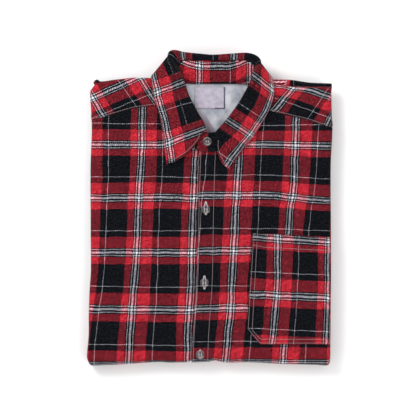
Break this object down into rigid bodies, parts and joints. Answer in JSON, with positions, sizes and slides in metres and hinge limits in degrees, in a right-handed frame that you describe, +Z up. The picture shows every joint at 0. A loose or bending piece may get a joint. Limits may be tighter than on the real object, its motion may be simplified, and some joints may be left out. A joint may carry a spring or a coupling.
{
  "type": "folded flannel shirt",
  "caption": "Long-sleeved button-front plaid flannel shirt with a buttoned collar, chest pocket and front placket, folded flat for a shelf.",
  "frame": {"origin": "on the surface that the shirt lies on, under the middle of its outline", "axes": "+Z up out of the surface, +Y from the bottom fold to the collar, +X to the side of the chest pocket, which is the wearer's left"},
  "size_m": [0.3179, 0.4106, 0.0398],
  "materials": {
    "plaid_flannel": "brushed plaid twill in red, black and white",
    "flannel_inside": "brushed twill, its inner side",
    "grey_lining": "smooth light grey lining",
    "label_tape": "plain white woven tape",
    "button_resin": "clear smoky resin, polished, paler at the rim"
  },
  "bodies": {
    "root": {"back": "plaid_flannel", "button_1": "button_resin", "button_2": "button_resin", "button_3": "button_resin", "button_4": "button_resin", "button_5": "button_resin", "button_collar": "button_resin", "collar_leaf": "plaid_flannel", "collar_stand": "plaid_flannel", "folded_layers": "flannel_inside", "front_left": "plaid_flannel", "front_right": "plaid_flannel", "neck_label": "label_tape", "pocket": "plaid_flannel", "sleeve_left": "plaid_flannel", "sleeve_right": "plaid_flannel", "yoke": "plaid_flannel", "yoke_lining": "grey_lining"}
  },
  "joints": []
}
